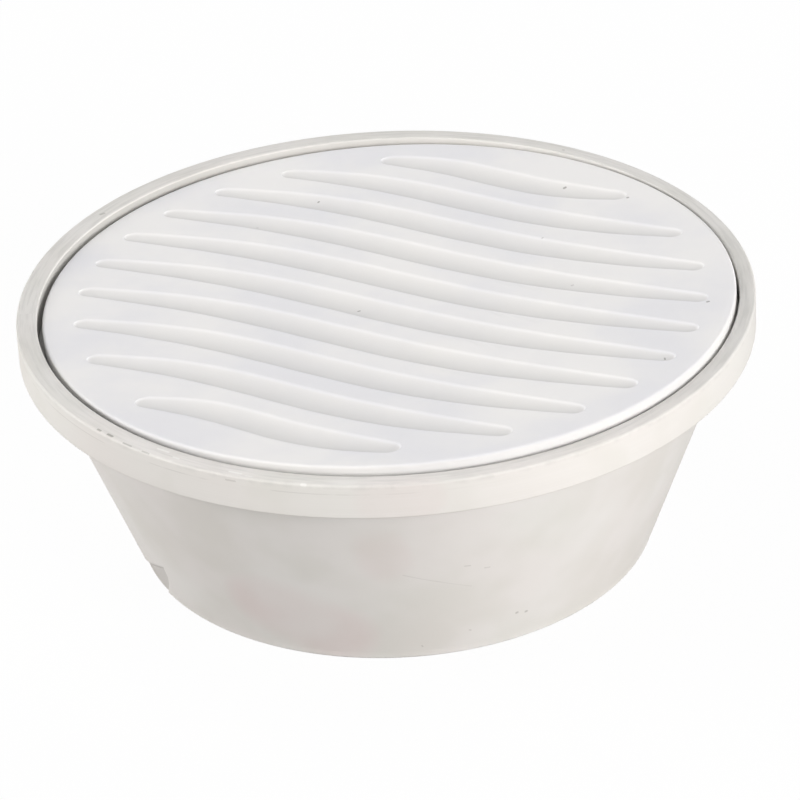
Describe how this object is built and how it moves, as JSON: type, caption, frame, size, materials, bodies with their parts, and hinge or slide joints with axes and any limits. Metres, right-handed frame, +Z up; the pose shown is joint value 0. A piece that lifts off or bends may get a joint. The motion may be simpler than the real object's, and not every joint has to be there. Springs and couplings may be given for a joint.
{
  "type": "gully trap",
  "caption": "Round bell-type gully trap: tapered bowl with a wide rim band, a loose water seal bell over a standpipe, and a solid cover with wavy flutes, laid a little askew in the rim.",
  "frame": {"origin": "middle of the flat underside of the base, on the trap's axis", "axes": "+Z up along the trap's axis, out through the cover; +X and +Y lie in the base plane, and the cover's flutes run turned 26.4 degrees clockwise from +X, seen from above"},
  "size_m": [0.3, 0.3, 0.1097],
  "materials": {
    "body_plastic": "matt, slightly mottled off-white moulding",
    "bell_plastic": "matt off-white moulding",
    "cover_plastic": "satin cool white moulding"
  },
  "bodies": {
    "root": {"trap_body": "body_plastic", "water_seal_bell": "bell_plastic", "cover": "cover_plastic"}
  },
  "joints": []
}
